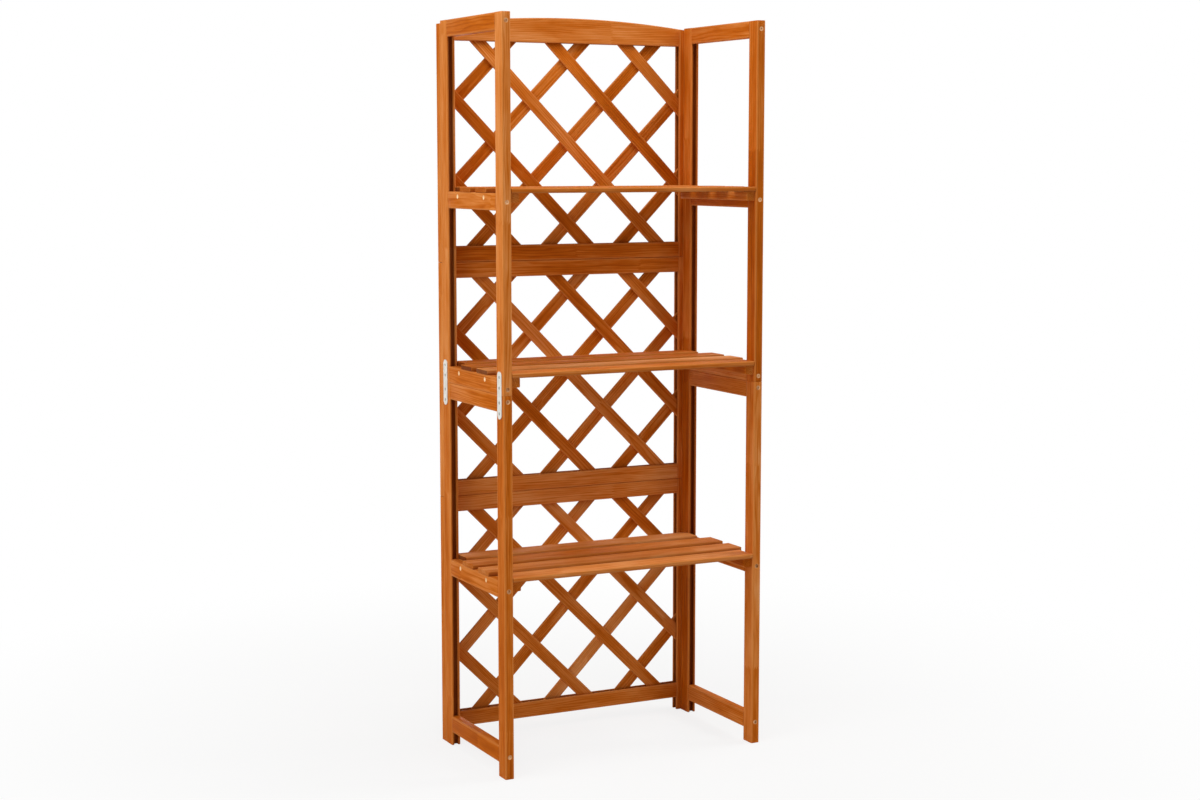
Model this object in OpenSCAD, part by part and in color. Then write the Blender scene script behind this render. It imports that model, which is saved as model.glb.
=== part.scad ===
// Free-standing three-tier plant shelf with a trellis back, in stained softwood.
// Two side frames, each in a lower and an upper half, carry three slatted shelves.
// Three stacked lattice panels close the back. Origin: centre of the footprint, on the floor.
// +X is to the right and +Y to the back, seen from the front.

/* [Side frames] */
// Width over the outer faces of the two side frames
width = 624; // [540:1:760]
// Depth of a side frame, front face to back face
frame_depth = 326; // [290:1:420]
// Height of the lower half of a side frame
lower_frame_h = 816; // [740:1:900]
// Height of the upper half of a side frame
upper_frame_h = 784; // [740:1:900]
// Thickness of the posts and rails, seen from the front
stock_t = 20; // [18:0.5:26]
// Width of a post, front to back
post_w = 36; // [32:0.5:44]
// Height of a side rail
rail_h = 36; // [32:0.5:44]
// Height of the bottom rails above the floor
foot_h = 30; // [20:1:60]
// Width of the groove along a post's inner edge
post_groove_w = 10; // [7:0.5:12]
// Depth of the groove along a post's inner edge
post_groove_d = 9; // [6:0.5:11]
// Play of a tongue in its groove, on each side and at its end
tongue_fit = 0.2; // [0.1:0.05:0.4]
// Width of the eased edges on all sticks
ease = 1.5; // [0.5:0.1:2.5]

/* [Shelves] */
// Height of the rails under the upper shelf, from the foot of the upper frame half to their tops
upper_shelf_h = 417; // [300:1:520]
// Height of the rails under the lower shelf, from the floor to their tops
lower_shelf_h = 422; // [300:1:560]
// Width of a slat
slat_w = 57; // [45:1:65]
// Thickness of a slat
slat_t = 10; // [8:0.5:16]
// Clear space between the back slat and the trellis
shelf_back_gap = 20; // [5:1:30]
// Play between the end of a short slat and the post
slat_end_fit = 0.3; // [0.1:0.1:0.8]
// Width of a batten under the slat ends
batten_w = 20; // [16:1:30]
// Height of a batten
batten_h = 20; // [16:1:30]
// How far a batten's ends stay behind the shelf's edges
batten_inset = 5; // [2:1:20]

/* [Trellis] */
// Thickness of the trellis stiles and rails
trellis_t = 22; // [18:0.5:28]
// Width of a trellis stile
stile_w = 30.5; // [28:0.5:44]
// Height of a trellis rail, for the arched one at its ends
trellis_rail_h = 35; // [28:0.5:44]
// Height of the lowest trellis rail above the floor
trellis_foot_h = 30; // [15:1:60]
// Height of the lower panel, with its feet
lower_panel_h = 557; // [480:1:600]
// Height of the middle panel
middle_panel_h = 520.5; // [460:0.5:580]
// How far the upper panel's ends stay below the tops of the side frames
trellis_drop = 5.5; // [0:0.5:40]
// Rise of the arched top rail, from its ends to its crown
arch_rise = 20; // [8:1:40]
// Depth of the groove along a trellis member's inner edge
trellis_groove_d = 9; // [5:0.5:12]
// Width of a lattice strip
strip_w = 28; // [18:0.5:40]
// Thickness of a lattice strip
strip_t = 5; // [3:0.25:6]
// Spacing of the lattice strips, measured level
strip_pitch = 182; // [120:1:240]
// Height of the upper lattice's middle crossing above the middle of its field
upper_lattice_lift = 4; // [-15:1:15]
// Height of the middle lattice's middle crossing above the middle of its field
middle_lattice_lift = 7; // [-15:1:15]
// Height of the lower lattice's middle crossing above the middle of its field
lower_lattice_lift = -5; // [-15:1:15]
// Play of the lattice in its groove, on each side and at its ends
lattice_fit = 0.2; // [0.1:0.05:0.4]

/* [Hardware] */
// Length of a joining plate
plate_l = 100; // [90:1:120]
// Width of a joining plate
plate_w = 20; // [14:0.5:24]
// Thickness of a joining plate
plate_t = 2; // [1.5:0.1:3]
// Distance of a plate's inner holes from the joint
plate_inner_hole = 15.5; // [14:0.5:20]
// Distance of a plate's outer holes from the joint
plate_outer_hole = 38; // [34:0.5:42]
// Shank diameter of the plate screws
plate_screw_d = 3.5; // [2.5:0.1:4]
// Head diameter of the plate screws
plate_screw_head_d = 6.6; // [5.5:0.1:8]
// Length of the plate screws, which stop short of the frame screws
plate_screw_l = 9; // [8:0.5:9.5]
// Shank diameter of the wood screws
screw_d = 4; // [3:0.1:5]
// Head diameter of the wood screws
screw_head_d = 9; // [7:0.1:10]
// Height of a wood screw's conical head
screw_head_h = 3.2; // [2.5:0.1:4]
// How deep the screw heads sit below the wood
screw_sink = 0.4; // [0.2:0.1:1]
// Length of the screws through the posts into the rails
frame_screw_l = 60; // [50:1:75]
// Length of the screws through the trellis into the rear posts
trellis_screw_l = 38; // [30:1:42]
// Length of the screws through the side rails into the battens
batten_screw_l = 34; // [27:0.5:35]
// Length of the screws up through the battens into the slats
slat_screw_l = 25.5; // [23:0.5:27]
// Distance of the frame screws from the joint of the frame halves
joint_screw_rise = 13; // [10:1:16]
// Distance of the trellis screws from a panel's ends
trellis_screw_inset = 62; // [50:1:80]
// Distance of the front batten screw from the edge of the slat above it
batten_screw_edge = 14; // [8:1:18]
// Play around a screw's shank and head
screw_fit = 0.15; // [0.05:0.05:0.3]

/* [Hidden] */
$fn = 48;
arch_fn = 1440;
wood = "#C4733A";
dark_wood = "#B3642E";
steel = "#DAD7CE";
yellow_zinc = "#E2A765";

SIDES = ["left", "right"];
HALVES = ["upper", "lower"];
RAILS = ["top_rail", "shelf_rail", "bottom_rail"];
TIERS = ["upper", "middle", "lower"];
PANEL_RAILS = ["top_rail", "bottom_rail"];
LAYERS = ["front", "back"];
slat_count = 4;

// Planes of the whole: left outer face, front face, back of the side frames
left_x = -width / 2;
front_y = -(frame_depth + trellis_t) / 2;
back_y = front_y + frame_depth;
trellis_h = lower_frame_h + upper_frame_h - trellis_drop;

// Middle of the front and of the rear post, front to back
post_mid_y = [front_y + post_w / 2, back_y - post_w / 2];

// Slats fill the shelf's depth, with equal gaps
shelf_depth = frame_depth - shelf_back_gap;
slat_gap = (shelf_depth - slat_count * slat_w) / (slat_count - 1);
slat_pitch = slat_w + slat_gap;

// The trellis groove holds both layers of strips
trellis_groove_w = 2 * (strip_t + lattice_fit);
lattice_y = back_y + trellis_t / 2;
panel_half_w = width / 2 - stile_w;

// Radius of the arched top, through both ends and the crown
arch_r = (pow(width / 2, 2) + pow(arch_rise, 2)) / (2 * arch_rise);

// A cut reaches this far past a face, and a screw tip tapers over this length
over = 1;
tip_l = 5;

function half_z(half) = half == "lower" ? 0 : lower_frame_h;
function half_h(half) = half == "lower" ? lower_frame_h : upper_frame_h;

// Underside of a side rail
function side_rail_z(half, rail) =
    rail == "top_rail" ? half_z(half) + half_h(half) - rail_h
    : rail == "shelf_rail" ? half_z(half) + (half == "lower" ? lower_shelf_h : upper_shelf_h) - rail_h
    : half == "lower" ? foot_h : lower_frame_h;

// Height of the screw that holds a side rail: mid height, or close to the joint of the halves
function rail_screw_z(half, rail) =
    half == "lower" && rail == "top_rail" ? lower_frame_h - joint_screw_rise
    : half == "upper" && rail == "bottom_rail" ? lower_frame_h + joint_screw_rise
    : side_rail_z(half, rail) + rail_h / 2;

// Height of a shelf's carrying rails, which is the underside of its slats
function shelf_z(tier) =
    tier == "lower" ? lower_shelf_h : lower_frame_h + (tier == "middle" ? rail_h : upper_shelf_h);

// Front edge of slat n, counted from the front, and whether a post stands beside it
function slat_y(n) = front_y + (n - 1) * slat_pitch;
function slat_is_short(n) = slat_y(n) < front_y + post_w || slat_y(n) + slat_w > back_y - post_w;

// Places of the two screws from a side rail into a batten
batten_screw_y = [slat_y(2) + batten_screw_edge, slat_y(slat_count) - slat_gap / 2];

// Bottom and top of a trellis panel, of the field between its rails, and the lattice's middle crossing
function panel_z0(tier) =
    tier == "lower" ? 0 : tier == "middle" ? lower_panel_h : lower_panel_h + middle_panel_h;
function panel_z1(tier) =
    tier == "lower" ? lower_panel_h : tier == "middle" ? lower_panel_h + middle_panel_h : trellis_h;
function bottom_rail_z(tier) = tier == "lower" ? trellis_foot_h : panel_z0(tier);
function field_z0(tier) = bottom_rail_z(tier) + trellis_rail_h;
function field_z1(tier) = panel_z1(tier) - trellis_rail_h;
function crossing_z(tier) =
    (field_z0(tier) + field_z1(tier)) / 2
    + (tier == "upper" ? upper_lattice_lift : tier == "middle" ? middle_lattice_lift : lower_lattice_lift);
function trellis_screw_zs(tier) =
    [panel_z0(tier) + trellis_screw_inset, panel_z1(tier) - trellis_screw_inset];

// Outline of a stick of thickness t and width w with eased edges
function eased(t, w) = [
    [ease, 0], [t - ease, 0], [t, ease], [t, w - ease],
    [t - ease, w], [ease, w], [0, w - ease], [0, ease]
];

// The same outline with a groove, gw wide and gd deep, in the middle of its far edge
function grooved(t, w, gw, gd) = [
    [ease, 0], [t - ease, 0], [t, ease], [t, w - ease], [t - ease, w],
    [(t + gw) / 2, w], [(t + gw) / 2, w - gd], [(t - gw) / 2, w - gd], [(t - gw) / 2, w],
    [ease, w], [0, w - ease], [0, ease]
];

// Extrudes an outline along +X (outline in Y and Z) or along +Y (outline in X and Z)
module along_x(length) {
    rotate([90, 0, 90])
        linear_extrude(length)
            children();
}

module along_y(length) {
    translate([0, length, 0])
        rotate([90, 0, 0])
            linear_extrude(length)
                children();
}

// Everything is drawn on the left and mirrored to the right
module on_side(side) {
    if (side == "right")
        mirror([1, 0, 0])
            children();
    else
        children();
}

// Countersunk screw along +Z, its head's flat top at the origin
module screw(d, head_d, head_h, length) {
    rotate_extrude()
        polygon([[0, 0], [head_d / 2, 0], [d / 2, head_h], [d / 2, length - tip_l], [0, length]]);
}

// Hole for that screw, sunk below the surface at the origin
module screw_hole(d, head_d, head_h, length, sink) {
    head_r = head_d / 2 + screw_fit;
    shank_r = d / 2 + screw_fit;
    rotate_extrude()
        polygon([
            [0, -over], [head_r, -over], [head_r, sink], [shank_r, sink + head_h],
            [shank_r, sink + length + screw_fit], [0, sink + length + screw_fit]
        ]);
}

module wood_screw(length) {
    translate([0, 0, screw_sink])
        screw(screw_d, screw_head_d, screw_head_h, length);
}

module wood_screw_hole(length) {
    screw_hole(screw_d, screw_head_d, screw_head_h, length, screw_sink);
}

// Places for the screws of the left side: +Z of what is placed points into the wood
module at_front_screw(z) {
    translate([left_x + stock_t / 2, front_y, z])
        rotate([-90, 0, 0])
            children();
}

module at_rear_screw(z) {
    translate([left_x + stock_t / 2, back_y, z])
        rotate([90, 0, 0])
            children();
}

module at_trellis_screws(tier) {
    for (z = trellis_screw_zs(tier))
        translate([left_x + stock_t / 2, back_y + trellis_t, z])
            rotate([90, 0, 0])
                children();
}

module at_batten_screws(tier) {
    for (y = batten_screw_y)
        translate([left_x, y, shelf_z(tier) - batten_h / 2])
            rotate([0, 90, 0])
                children();
}

module at_slat_screw(tier, n) {
    translate([left_x + stock_t + batten_w / 2, slat_y(n) + slat_w / 2, shelf_z(tier) - batten_h])
        children();
}

module at_plate_screws(y) {
    for (dz = [-plate_outer_hole, -plate_inner_hole, plate_inner_hole, plate_outer_hole])
        translate([left_x - plate_t, y, lower_frame_h + dz])
            rotate([0, 90, 0])
                children();
}

module plate_screw_hole() {
    screw_hole(plate_screw_d, plate_screw_head_d, plate_t, plate_screw_l, 0);
}

// Side frames

module post_blank(half) {
    linear_extrude(half_h(half))
        polygon(grooved(stock_t, post_w, post_groove_w, post_groove_d));
}

module front_post(side, half) {
    color(wood)
        on_side(side)
            difference() {
                translate([left_x, front_y, half_z(half)])
                    post_blank(half);
                for (rail = RAILS)
                    at_front_screw(rail_screw_z(half, rail))
                        wood_screw_hole(frame_screw_l);
                at_plate_screws(post_mid_y[0])
                    plate_screw_hole();
            }
}

module rear_post(side, half) {
    color(wood)
        on_side(side)
            difference() {
                translate([left_x, back_y, half_z(half)])
                    mirror([0, 1, 0])
                        post_blank(half);
                for (rail = RAILS)
                    at_rear_screw(rail_screw_z(half, rail))
                        wood_screw_hole(frame_screw_l);
                at_plate_screws(post_mid_y[1])
                    plate_screw_hole();
                for (tier = TIERS)
                    at_trellis_screws(tier)
                        wood_screw_hole(trellis_screw_l);
            }
}

// A side rail: its body fills the space between the posts, its tongues sit in their grooves
module side_rail(side, half, rail) {
    body_l = frame_depth - 2 * post_w;
    tongue_l = post_groove_d - tongue_fit;
    tongue_t = post_groove_w - 2 * tongue_fit;
    z = side_rail_z(half, rail);
    color(wood)
        on_side(side)
            difference() {
                union() {
                    translate([left_x, front_y + post_w, z])
                        along_y(body_l)
                            polygon(eased(stock_t, rail_h));
                    translate([left_x + (stock_t - tongue_t) / 2, front_y + post_w - tongue_l, z + ease])
                        cube([tongue_t, body_l + 2 * tongue_l, rail_h - 2 * ease]);
                }
                at_front_screw(rail_screw_z(half, rail))
                    wood_screw_hole(frame_screw_l);
                at_rear_screw(rail_screw_z(half, rail))
                    wood_screw_hole(frame_screw_l);
                for (tier = TIERS)
                    at_batten_screws(tier)
                        wood_screw_hole(batten_screw_l);
            }
}

// Shelves

// Slat n of a shelf, counted from the front: across the side rails, or between the posts
module slat(tier, n) {
    length = slat_is_short(n) ? width - 2 * (stock_t + slat_end_fit) : width;
    color(wood)
        difference() {
            translate([-length / 2, slat_y(n), shelf_z(tier)])
                along_x(length)
                    polygon(eased(slat_w, slat_t));
            for (side = SIDES)
                on_side(side)
                    at_slat_screw(tier, n)
                        wood_screw_hole(slat_screw_l);
        }
}

module batten(tier, side) {
    color(dark_wood)
        on_side(side)
            difference() {
                translate([left_x + stock_t, front_y + batten_inset, shelf_z(tier) - batten_h])
                    along_y(shelf_depth - 2 * batten_inset)
                        polygon(eased(batten_w, batten_h));
                at_batten_screws(tier)
                    wood_screw_hole(batten_screw_l);
                for (n = [1:slat_count])
                    at_slat_screw(tier, n)
                        wood_screw_hole(slat_screw_l);
            }
}

// Trellis

// Everything under the arched top of the upper panel
module under_arch() {
    intersection() {
        children();
        translate([0, back_y - over, trellis_h + arch_rise - arch_r])
            rotate([-90, 0, 0])
                cylinder(r = arch_r, h = trellis_t + 2 * over, $fn = arch_fn);
    }
}

module stile_blank(tier) {
    height = panel_z1(tier) - panel_z0(tier) + (tier == "upper" ? arch_rise : 0);
    translate([left_x, back_y, panel_z0(tier)])
        mirror([1, -1, 0])
            linear_extrude(height)
                polygon(grooved(trellis_t, stile_w, trellis_groove_w, trellis_groove_d));
}

module stile(tier, side) {
    color(dark_wood)
        on_side(side)
            difference() {
                if (tier == "upper")
                    under_arch()
                        stile_blank(tier);
                else
                    stile_blank(tier);
                at_trellis_screws(tier)
                    wood_screw_hole(trellis_screw_l);
            }
}

// A trellis rail with its groove on top: the body between the stiles, and a tongue into each of them
module trellis_rail_blank(height) {
    tongue_l = trellis_groove_d - tongue_fit;
    tongue_t = trellis_groove_w - 2 * tongue_fit;
    tongue_half = panel_half_w + tongue_l;
    translate([-panel_half_w, back_y, 0])
        along_x(2 * panel_half_w)
            polygon(grooved(trellis_t, height, trellis_groove_w, trellis_groove_d));
    translate([-tongue_half, lattice_y - tongue_t / 2, ease])
        cube([2 * tongue_half, tongue_t, height - trellis_groove_d - ease]);
}

module trellis_rail(tier, rail) {
    color(dark_wood)
        if (rail == "bottom_rail")
            translate([0, 0, bottom_rail_z(tier)])
                trellis_rail_blank(trellis_rail_h);
        else if (tier == "upper")
            under_arch()
                translate([0, 0, trellis_h + arch_rise])
                    mirror([0, 0, 1])
                        trellis_rail_blank(trellis_rail_h + arch_rise);
        else
            translate([0, 0, panel_z1(tier)])
                mirror([0, 0, 1])
                    trellis_rail_blank(trellis_rail_h);
}

// The field of a panel with the parts of the grooves that the strips may reach, in X and Z
module strip_field(tier) {
    reach = trellis_groove_d - lattice_fit;
    field_h = field_z1(tier) - field_z0(tier);
    translate([-panel_half_w - reach, field_z0(tier)])
        square([2 * (panel_half_w + reach), field_h]);
    translate([-panel_half_w, field_z0(tier) - reach])
        square([2 * panel_half_w, field_h + 2 * reach]);
}

// One layer of strips, spaced evenly from the middle of the panel: the front layer runs down to the right
module strips(tier, layer) {
    field_h = field_z1(tier) - field_z0(tier);
    long = 2 * (panel_half_w + field_h);
    turn = layer == "front" ? -45 : 45;
    reach_n = floor((panel_half_w + field_h / 2 - strip_w) / strip_pitch);
    color(dark_wood)
        translate([0, layer == "front" ? lattice_y - strip_t : lattice_y, 0])
            for (n = [-reach_n:reach_n])
                along_y(strip_t)
                    intersection() {
                        strip_field(tier);
                        translate([0, crossing_z(tier)])
                            rotate(turn)
                                translate([-long / 2, n * strip_pitch / sqrt(2) - strip_w / 2])
                                    square([long, strip_w]);
                    }
}

// Hardware

// Flat plates with round ends over the joint of the frame halves, on the outer faces of the posts
module joining_plates() {
    straight = plate_l - plate_w;
    color(steel)
        for (side = SIDES, y = post_mid_y)
            on_side(side)
                difference() {
                    translate([left_x - plate_t, y, lower_frame_h])
                        rotate([90, 0, 90])
                            linear_extrude(plate_t) {
                                square([plate_w, straight], center = true);
                                for (end = [-1, 1])
                                    translate([0, end * straight / 2])
                                        circle(d = plate_w);
                            }
                    at_plate_screws(y)
                        plate_screw_hole();
                }
}

// Screws through the posts into the rails, and through the trellis into the rear posts
module frame_screws() {
    color(yellow_zinc)
        for (side = SIDES)
            on_side(side) {
                for (half = HALVES, rail = RAILS) {
                    at_front_screw(rail_screw_z(half, rail))
                        wood_screw(frame_screw_l);
                    at_rear_screw(rail_screw_z(half, rail))
                        wood_screw(frame_screw_l);
                }
                for (tier = TIERS)
                    at_trellis_screws(tier)
                        wood_screw(trellis_screw_l);
            }
}

// Screws through the side rails into the battens, and up through the battens into the slats
module shelf_screws() {
    color(yellow_zinc)
        for (side = SIDES, tier = TIERS)
            on_side(side) {
                at_batten_screws(tier)
                    wood_screw(batten_screw_l);
                for (n = [1:slat_count])
                    at_slat_screw(tier, n)
                        wood_screw(slat_screw_l);
            }
}

module plate_screws() {
    color(steel)
        for (side = SIDES, y = post_mid_y)
            on_side(side)
                at_plate_screws(y)
                    screw(plate_screw_d, plate_screw_head_d, plate_t, plate_screw_l);
}

for (side = SIDES, half = HALVES) {
    front_post(side, half);
    rear_post(side, half);
}
for (side = SIDES, half = HALVES, rail = RAILS)
    side_rail(side, half, rail);
for (tier = TIERS, n = [1:slat_count])
    slat(tier, n);
for (tier = TIERS, side = SIDES) {
    batten(tier, side);
    stile(tier, side);
}
for (tier = TIERS, rail = PANEL_RAILS)
    trellis_rail(tier, rail);
for (tier = TIERS, layer = LAYERS)
    strips(tier, layer);
joining_plates();
frame_screws();
shelf_screws();
plate_screws();
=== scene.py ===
"""Free-standing slatted plant shelf with a trellis back, in planed and stained fir with zinc-plated hardware."""

import bpy
import numpy as np
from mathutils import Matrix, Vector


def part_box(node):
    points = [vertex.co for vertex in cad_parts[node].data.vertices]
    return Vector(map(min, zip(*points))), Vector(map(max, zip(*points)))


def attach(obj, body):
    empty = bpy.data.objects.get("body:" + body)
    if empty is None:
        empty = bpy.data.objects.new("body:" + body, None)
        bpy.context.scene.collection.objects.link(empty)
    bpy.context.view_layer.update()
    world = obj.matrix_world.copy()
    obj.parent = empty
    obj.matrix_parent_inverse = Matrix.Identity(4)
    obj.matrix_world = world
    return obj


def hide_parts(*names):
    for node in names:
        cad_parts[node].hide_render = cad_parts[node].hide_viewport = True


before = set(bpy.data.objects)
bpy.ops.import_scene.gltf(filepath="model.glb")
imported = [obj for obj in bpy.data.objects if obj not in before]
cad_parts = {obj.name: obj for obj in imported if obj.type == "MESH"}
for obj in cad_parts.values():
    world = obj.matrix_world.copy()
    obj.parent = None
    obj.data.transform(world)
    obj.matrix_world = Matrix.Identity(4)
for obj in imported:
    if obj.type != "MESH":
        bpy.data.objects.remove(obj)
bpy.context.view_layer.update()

# Camera. It stands to the left of the shelf, a little above the upper shelf, and looks slightly down,
# so that both side frames, the trellis and the tops of the two lower shelves show.
camera = bpy.data.objects.new("camera", bpy.data.cameras.new("camera"))
camera.data.sensor_width, camera.data.lens = 36.0, 61.04
turned_right, tilted_down = np.radians(26.915), np.radians(6.718)
camera.location = (-2.0235, -3.9851, 1.3001)
camera.rotation_euler = (np.pi / 2 - tilted_down, 0.0, -turned_right)
bpy.context.scene.collection.objects.link(camera)
bpy.context.scene.camera = camera

# Posts. Planed fir sticks of 20 by 36 mm with eased edges, one above the other in each corner of the side frames.
# A groove runs along the edge that faces the other post; the rails' tongues sit in it.
# A countersunk screw goes through each post into the end of each rail.
SIDES, HALVES, RAILS = ("left", "right"), ("upper", "lower"), ("top_rail", "shelf_rail", "bottom_rail")
X, Y, Z = np.eye(3)
POST_EASE, LIP_EASE, GROOVE_EASE, END_EASE = 0.0023, 0.0008, 0.0004, 0.0007
EASE_POINTS, FLAT_POINTS, FLAT_GUARD = 5, 2, 0.0025
END_MIDWAY, CAP_INSET, HOLE_POINTS, HOLE_MARGIN = 0.29, 1.07, 32, 1.25
POST_GROOVE_W, POST_GROOVE_D = 0.010, 0.009
SCREW_HEAD_D, SCREW_HEAD_H, SCREW_D, SCREW_SINK, SCREW_PLAY = 0.009, 0.0032, 0.004, 0.0004, 0.00015
PIT_RIM, JOINT_SCREW_RISE = 0.0003, 0.013
SHARP_ANGLE, PITH_NEAR, PITH_FAR, LOG_L = np.radians(40), 0.014, 0.055, 30.0
STAIN, STAIN_SPREAD, END_STAIN = -0.1, 0.045, 0.6
# Tone of single posts, partly their own take-up of stain and partly painted light: the upper left front post is
# painted paler as painted light and sheen, two of the right posts darker as painted shade.
PALER_POSTS_STAIN_AND_LIGHT = {"left_upper_front_post": 0.16, "left_upper_rear_post": 0.04, "left_lower_rear_post": 0.06,
               "right_lower_front_post": 0.06, "right_upper_front_post": -0.11, "right_lower_rear_post": -0.12}


def linear(code):
    """An sRGB hex colour as linear red, green, blue and alpha."""
    c = np.array([int(code[i:i + 2], 16) for i in (1, 3, 5)]) / 255
    return (*np.where(c <= 0.04045, c / 12.92, ((c + 0.055) / 1.055) ** 2.4), 1.0)


def put(tree, kind, inputs=None, out=0, stops=(), **settings):
    """Adds a node, sets its properties and colour stops, sets or links its inputs, and gives one of its outputs."""
    node = tree.nodes.new("ShaderNode" + kind)
    for key, value in settings.items():
        setattr(node, key, value)
    for key, value in (inputs or {}).items():
        if isinstance(value, bpy.types.NodeSocket):
            tree.links.new(value, node.inputs[key])
        else:
            node.inputs[key].default_value = value
    for n, (at, code) in enumerate(stops):
        stop = node.color_ramp.elements[n] if n < 2 else node.color_ramp.elements.new(at)
        stop.position, stop.color = at, linear(code)
    return node.outputs[out] if node.outputs else node


def stained_fir():
    """Planed fir under a thin orange-brown stain. Growth rings lie round a pith outside the stick, so that long
    flames or straight lines show on its faces and arcs on its ends; the eye also sees fine fibres, clouds where the
    stain took up unevenly, lengths of another tone glued end to end with fingers, edges rubbed paler and sawn ends
    that drank more stain, darker still on the short slats' recessed ends as painted shade. Grooves are painted darker,
    partly for pooled stain and partly as painted shade, and the slats' front faces and undersides as painted shade."""
    ring_w, ring_wander = 0.0042, 5.0              # real rings are 2 to 3 mm; these are coarser, to show in the render
    block_l, block_shift, finger_l, finger_w = 0.46, (9.0, 0.02, 0.02), 0.009, 0.003
    drift_size, fibre_size, cloud_size = (0.340, 0.034), (0.120, 0.0016), (0.170, 0.032)
    cloud_share, fibre_share, late_share, lot_share, groove_stain_and_shade_share = 0.7, 0.5, 0.17, 0.08, 0.8
    late_relief, rough, rough_spread = 0.35, 0.54, 0.24
    material = bpy.data.materials.new("planed_fir_orange_brown_stain")
    material.use_nodes = True
    tree = material.node_tree
    tree.nodes.clear()
    log = put(tree, "Attribute", attribute_name="grain", out="Vector")
    along, u, v = (put(tree, "SeparateXYZ", {0: log}, out=axis) for axis in ("X", "Y", "Z"))
    finger = put(tree, "Math", {0: u, 1: v}, operation="ADD")
    finger = put(tree, "Math", {0: finger, 1: finger_w}, operation="PINGPONG")
    finger = put(tree, "Math", {0: finger, 1: finger_l / finger_w, 2: along}, operation="MULTIPLY_ADD")
    block = put(tree, "Math", {0: put(tree, "Math", {0: finger, 1: block_l}, operation="DIVIDE")}, operation="FLOOR")
    lot = put(tree, "TexWhiteNoise", {"W": block}, out="Color", noise_dimensions="1D")
    shift = put(tree, "VectorMath", {0: lot, 1: block_shift}, operation="MULTIPLY")
    grain = put(tree, "VectorMath", {0: log, 1: shift}, operation="ADD")
    tone, edge, groove, sawn, raw = (
        put(tree, "Attribute", attribute_name=n, out="Fac") for n in ("tone", "edge", "groove", "sawn", "raw"))
    drift, fibre, cloud = (
        put(tree, "TexNoise", {
            "Vector": put(tree, "VectorMath", {0: grain, 1: (1 / long, 1 / wide, 1 / wide)}, operation="MULTIPLY"),
            "Scale": 1.0, "Detail": detail, "Roughness": 0.6}, out="Fac")
        for (long, wide), detail in ((drift_size, 2.0), (fibre_size, 4.0), (cloud_size, 3.0)))
    across = put(tree, "VectorMath", {0: grain, 1: (0.0, 1.0, 1.0)}, operation="MULTIPLY")
    radius = put(tree, "VectorMath", {0: across}, operation="LENGTH", out="Value")
    wander = put(tree, "Math", {0: drift, 1: ring_wander}, operation="MULTIPLY")
    rings = put(tree, "Math", {0: radius, 1: 1 / ring_w, 2: wander}, operation="MULTIPLY_ADD")
    year = put(tree, "Math", {0: rings}, operation="FRACT")
    late = put(tree, "ValToRGB", {0: year}, stops=(
        (0.0, "#000000"), (0.45, "#606060"), (0.84, "#FFFFFF"), (1.0, "#000000")))
    depth, lot_tone = tone, put(tree, "SeparateXYZ", {0: lot}, out="X")
    for taken_up, share in ((cloud, cloud_share), (fibre, fibre_share), (late, late_share), (lot_tone, lot_share)):
        depth = put(tree, "Math", {0: taken_up, 1: share, 2: depth}, operation="MULTIPLY_ADD")
    stain = put(tree, "ValToRGB", {0: depth}, stops=(
        (0.20, "#EDA566"), (0.42, "#DC843C"), (0.62, "#C76612"), (0.80, "#B25406"), (1.0, "#8B3802")))
    rubbed = put(tree, "Math", {0: edge, 1: fibre}, operation="MULTIPLY")
    colour = put(tree, "Mix", {0: rubbed, 6: stain, 7: linear("#DB8A45")}, out=2, data_type="RGBA")
    colour = put(tree, "Mix", {0: sawn, 6: colour, 7: linear("#5E2405")}, out=2, data_type="RGBA")
    # Painted shade, partly pooled stain: grooves, and the slats' front faces and undersides, are mixed towards dark
    # brown.
    deep = put(tree, "Math", {0: groove, 1: groove_stain_and_shade_share}, operation="MULTIPLY")
    colour = put(tree, "Mix", {0: deep, 6: colour, 7: linear("#6E2C07")}, out=2, data_type="RGBA")
    colour = put(tree, "Mix", {0: raw, 6: colour, 7: linear("#DDA06A")}, out=2, data_type="RGBA")
    relief = put(tree, "Math", {0: late, 1: late_relief, 2: fibre}, operation="MULTIPLY_ADD")
    satin = put(tree, "Math", {0: fibre, 1: rough_spread, 2: rough}, operation="MULTIPLY_ADD")
    bump = put(tree, "Bump", {"Strength": 0.30, "Distance": 0.0005, "Height": relief})
    shader = put(tree, "BsdfPrincipled", {
        "Base Color": colour, "Roughness": satin, "Normal": bump, "IOR": 1.48, "Specular IOR Level": 0.05})
    put(tree, "OutputMaterial", {"Surface": shader})
    return material


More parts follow.
